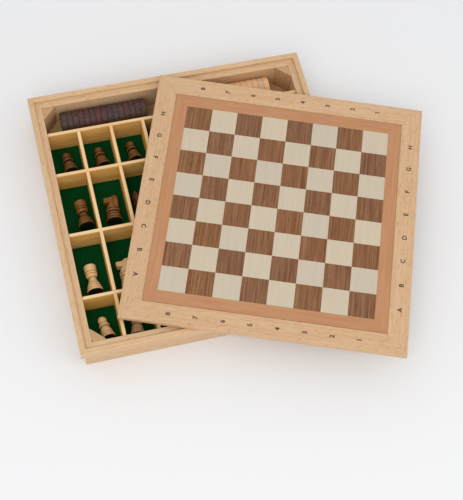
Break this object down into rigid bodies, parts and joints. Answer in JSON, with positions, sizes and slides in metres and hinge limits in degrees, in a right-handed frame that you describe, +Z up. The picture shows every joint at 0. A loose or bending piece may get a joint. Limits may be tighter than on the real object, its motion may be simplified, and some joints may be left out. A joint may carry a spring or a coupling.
{
  "type": "chess and nine men's morris set",
  "caption": "Square wooden tray with felt-lined cells for chess men and a trough for draughts, closed by a lift-off board with a chess field on one face and nine men's morris on the other.",
  "frame": {"origin": "centre of the tray's underside, where it rests", "axes": "+Z up, +Y away from the player who opens the tray, +X to that player's right"},
  "size_m": [0.4121, 0.3731, 0.046],
  "materials": {
    "green_felt": "short-pile dark green felt",
    "floor_plywood": "raw sanded plywood",
    "divider_wood": "planed pale softwood",
    "block_wood": "sawn pale wood, end grain up",
    "tray_wood": "satin clear lacquer on pale pine-like wood",
    "lid_wood": "satin clear lacquer on pale straight-grained wood",
    "core_plywood": "raw plywood",
    "border_veneer": "satin reddish veneer",
    "dark_veneer": "satin walnut veneer",
    "light_veneer": "satin maple veneer",
    "morris_veneer": "satin pale veneer",
    "morris_inlay": "black-brown stained veneer",
    "dark_men": "turned and stained red-brown",
    "light_men": "turned, clear lacquer",
    "dark_draughts": "stained purple-brown",
    "light_draughts": "natural"
  },
  "bodies": {
    "tray": {"column_dividers": "divider_wood", "corner_blocks": "block_wood", "draughts_divider": "divider_wood", "felt_lining": "green_felt", "rim_front": "tray_wood", "rim_left": "tray_wood", "rim_rear": "tray_wood", "rim_right": "tray_wood", "row_divider_1": "divider_wood", "row_divider_2": "divider_wood", "row_divider_3": "divider_wood", "tray_floor": "floor_plywood", "wall_front": "tray_wood", "wall_left": "tray_wood", "wall_rear": "tray_wood", "wall_right": "tray_wood"},
    "lid": {"lid_rail_front": "lid_wood", "lid_rail_right": "lid_wood", "lid_rail_rear": "lid_wood", "lid_rail_left": "lid_wood", "board_core": "core_plywood", "chess_border": "border_veneer", "dark_squares": "dark_veneer", "light_squares": "light_veneer", "morris_panel": "morris_veneer", "morris_inlay": "morris_inlay"},
    "dark_bishop_left": {"dark_bishop_left": "dark_men"},
    "dark_bishop_right": {"dark_bishop_right": "dark_men"},
    "dark_king": {"dark_king": "dark_men"},
    "dark_knight_left": {"dark_knight_left": "dark_men"},
    "dark_knight_right": {"dark_knight_right": "dark_men"},
    "dark_pawn_1": {"dark_pawn_1": "dark_men"},
    "dark_pawn_2": {"dark_pawn_2": "dark_men"},
    "dark_pawn_3": {"dark_pawn_3": "dark_men"},
    "dark_pawn_4": {"dark_pawn_4": "dark_men"},
    "dark_pawn_5": {"dark_pawn_5": "dark_men"},
    "dark_pawn_6": {"dark_pawn_6": "dark_men"},
    "dark_pawn_7": {"dark_pawn_7": "dark_men"},
    "dark_pawn_8": {"dark_pawn_8": "dark_men"},
    "dark_queen": {"dark_queen": "dark_men"},
    "dark_rook_left": {"dark_rook_left": "dark_men"},
    "dark_rook_right": {"dark_rook_right": "dark_men"},
    "light_bishop_left": {"light_bishop_left": "light_men"},
    "light_bishop_right": {"light_bishop_right": "light_men"},
    "light_king": {"light_king": "light_men"},
    "light_knight_left": {"light_knight_left": "light_men"},
    "light_knight_right": {"light_knight_right": "light_men"},
    "light_pawn_1": {"light_pawn_1": "light_men"},
    "light_pawn_2": {"light_pawn_2": "light_men"},
    "light_pawn_3": {"light_pawn_3": "light_men"},
    "light_pawn_4": {"light_pawn_4": "light_men"},
    "light_pawn_5": {"light_pawn_5": "light_men"},
    "light_pawn_6": {"light_pawn_6": "light_men"},
    "light_pawn_7": {"light_pawn_7": "light_men"},
    "light_pawn_8": {"light_pawn_8": "light_men"},
    "light_queen": {"light_queen": "light_men"},
    "light_rook_left": {"light_rook_left": "light_men"},
    "light_rook_right": {"light_rook_right": "light_men"},
    "dark_draughts": {"dark_draughts": "dark_draughts"},
    "light_draughts": {"light_draughts": "light_draughts"}
  },
  "joints": [
    {"name": "lid_lift", "type": "slide", "parent": "tray", "child": "lid", "axis": [0, 0, 1], "range_m": [0, 0.12]},
    {"name": "dark_bishop_left_lift", "type": "slide", "parent": "tray", "child": "dark_bishop_left", "axis": [0, 0, 1], "range_m": [0, 0.016]},
    {"name": "dark_bishop_right_lift", "type": "slide", "parent": "tray", "child": "dark_bishop_right", "axis": [0, 0, 1], "range_m": [0, 0.016]},
    {"name": "dark_king_lift", "type": "slide", "parent": "tray", "child": "dark_king", "axis": [0, 0, 1], "range_m": [0, 0.015]},
    {"name": "dark_knight_left_lift", "type": "slide", "parent": "tray", "child": "dark_knight_left", "axis": [0, 0, 1], "range_m": [0, 0.06]},
    {"name": "dark_knight_right_lift", "type": "slide", "parent": "tray", "child": "dark_knight_right", "axis": [0, 0, 1], "range_m": [0, 0.016]},
    {"name": "dark_pawn_1_lift", "type": "slide", "parent": "tray", "child": "dark_pawn_1", "axis": [0, 0, 1], "range_m": [0, 0.06]},
    {"name": "dark_pawn_2_lift", "type": "slide", "parent": "tray", "child": "dark_pawn_2", "axis": [0, 0, 1], "range_m": [0, 0.06]},
    {"name": "dark_pawn_3_lift", "type": "slide", "parent": "tray", "child": "dark_pawn_3", "axis": [0, 0, 1], "range_m": [0, 0.06]},
    {"name": "dark_pawn_4_lift", "type": "slide", "parent": "tray", "child": "dark_pawn_4", "axis": [0, 0, 1], "range_m": [0, 0.018]},
    {"name": "dark_pawn_5_lift", "type": "slide", "parent": "tray", "child": "dark_pawn_5", "axis": [0, 0, 1], "range_m": [0, 0.018]},
    {"name": "dark_pawn_6_lift", "type": "slide", "parent": "tray", "child": "dark_pawn_6", "axis": [0, 0, 1], "range_m": [0, 0.018]},
    {"name": "dark_pawn_7_lift", "type": "slide", "parent": "tray", "child": "dark_pawn_7", "axis": [0, 0, 1], "range_m": [0, 0.018]},
    {"name": "dark_pawn_8_lift", "type": "slide", "parent": "tray", "child": "dark_pawn_8", "axis": [0, 0, 1], "range_m": [0, 0.018]},
    {"name": "dark_queen_lift", "type": "slide", "parent": "tray", "child": "dark_queen", "axis": [0, 0, 1], "range_m": [0, 0.015]},
    {"name": "dark_rook_left_lift", "type": "slide", "parent": "tray", "child": "dark_rook_left", "axis": [0, 0, 1], "range_m": [0, 0.06]},
    {"name": "dark_rook_right_lift", "type": "slide", "parent": "tray", "child": "dark_rook_right", "axis": [0, 0, 1], "range_m": [0, 0.016]},
    {"name": "light_bishop_left_lift", "type": "slide", "parent": "tray", "child": "light_bishop_left", "axis": [0, 0, 1], "range_m": [0, 0.016]},
    {"name": "light_bishop_right_lift", "type": "slide", "parent": "tray", "child": "light_bishop_right", "axis": [0, 0, 1], "range_m": [0, 0.016]},
    {"name": "light_king_lift", "type": "slide", "parent": "tray", "child": "light_king", "axis": [0, 0, 1], "range_m": [0, 0.015]},
    {"name": "light_knight_left_lift", "type": "slide", "parent": "tray", "child": "light_knight_left", "axis": [0, 0, 1], "range_m": [0, 0.016]},
    {"name": "light_knight_right_lift", "type": "slide", "parent": "tray", "child": "light_knight_right", "axis": [0, 0, 1], "range_m": [0, 0.016]},
    {"name": "light_pawn_1_lift", "type": "slide", "parent": "tray", "child": "light_pawn_1", "axis": [0, 0, 1], "range_m": [0, 0.06]},
    {"name": "light_pawn_2_lift", "type": "slide", "parent": "tray", "child": "light_pawn_2", "axis": [0, 0, 1], "range_m": [0, 0.018]},
    {"name": "light_pawn_3_lift", "type": "slide", "parent": "tray", "child": "light_pawn_3", "axis": [0, 0, 1], "range_m": [0, 0.018]},
    {"name": "light_pawn_4_lift", "type": "slide", "parent": "tray", "child": "light_pawn_4", "axis": [0, 0, 1], "range_m": [0, 0.018]},
    {"name": "light_pawn_5_lift", "type": "slide", "parent": "tray", "child": "light_pawn_5", "axis": [0, 0, 1], "range_m": [0, 0.018]},
    {"name": "light_pawn_6_lift", "type": "slide", "parent": "tray", "child": "light_pawn_6", "axis": [0, 0, 1], "range_m": [0, 0.018]},
    {"name": "light_pawn_7_lift", "type": "slide", "parent": "tray", "child": "light_pawn_7", "axis": [0, 0, 1], "range_m": [0, 0.018]},
    {"name": "light_pawn_8_lift", "type": "slide", "parent": "tray", "child": "light_pawn_8", "axis": [0, 0, 1], "range_m": [0, 0.018]},
    {"name": "light_queen_lift", "type": "slide", "parent": "tray", "child": "light_queen", "axis": [0, 0, 1], "range_m": [0, 0.015]},
    {"name": "light_rook_left_lift", "type": "slide", "parent": "tray", "child": "light_rook_left", "axis": [0, 0, 1], "range_m": [0, 0.06]},
    {"name": "light_rook_right_lift", "type": "slide", "parent": "tray", "child": "light_rook_right", "axis": [0, 0, 1], "range_m": [0, 0.016]},
    {"name": "dark_draughts_lift", "type": "slide", "parent": "tray", "child": "dark_draughts", "axis": [0, 0, 1], "range_m": [0, 0.06]},
    {"name": "light_draughts_lift", "type": "slide", "parent": "tray", "child": "light_draughts", "axis": [0, 0, 1], "range_m": [0, 0.008]}
  ]
}
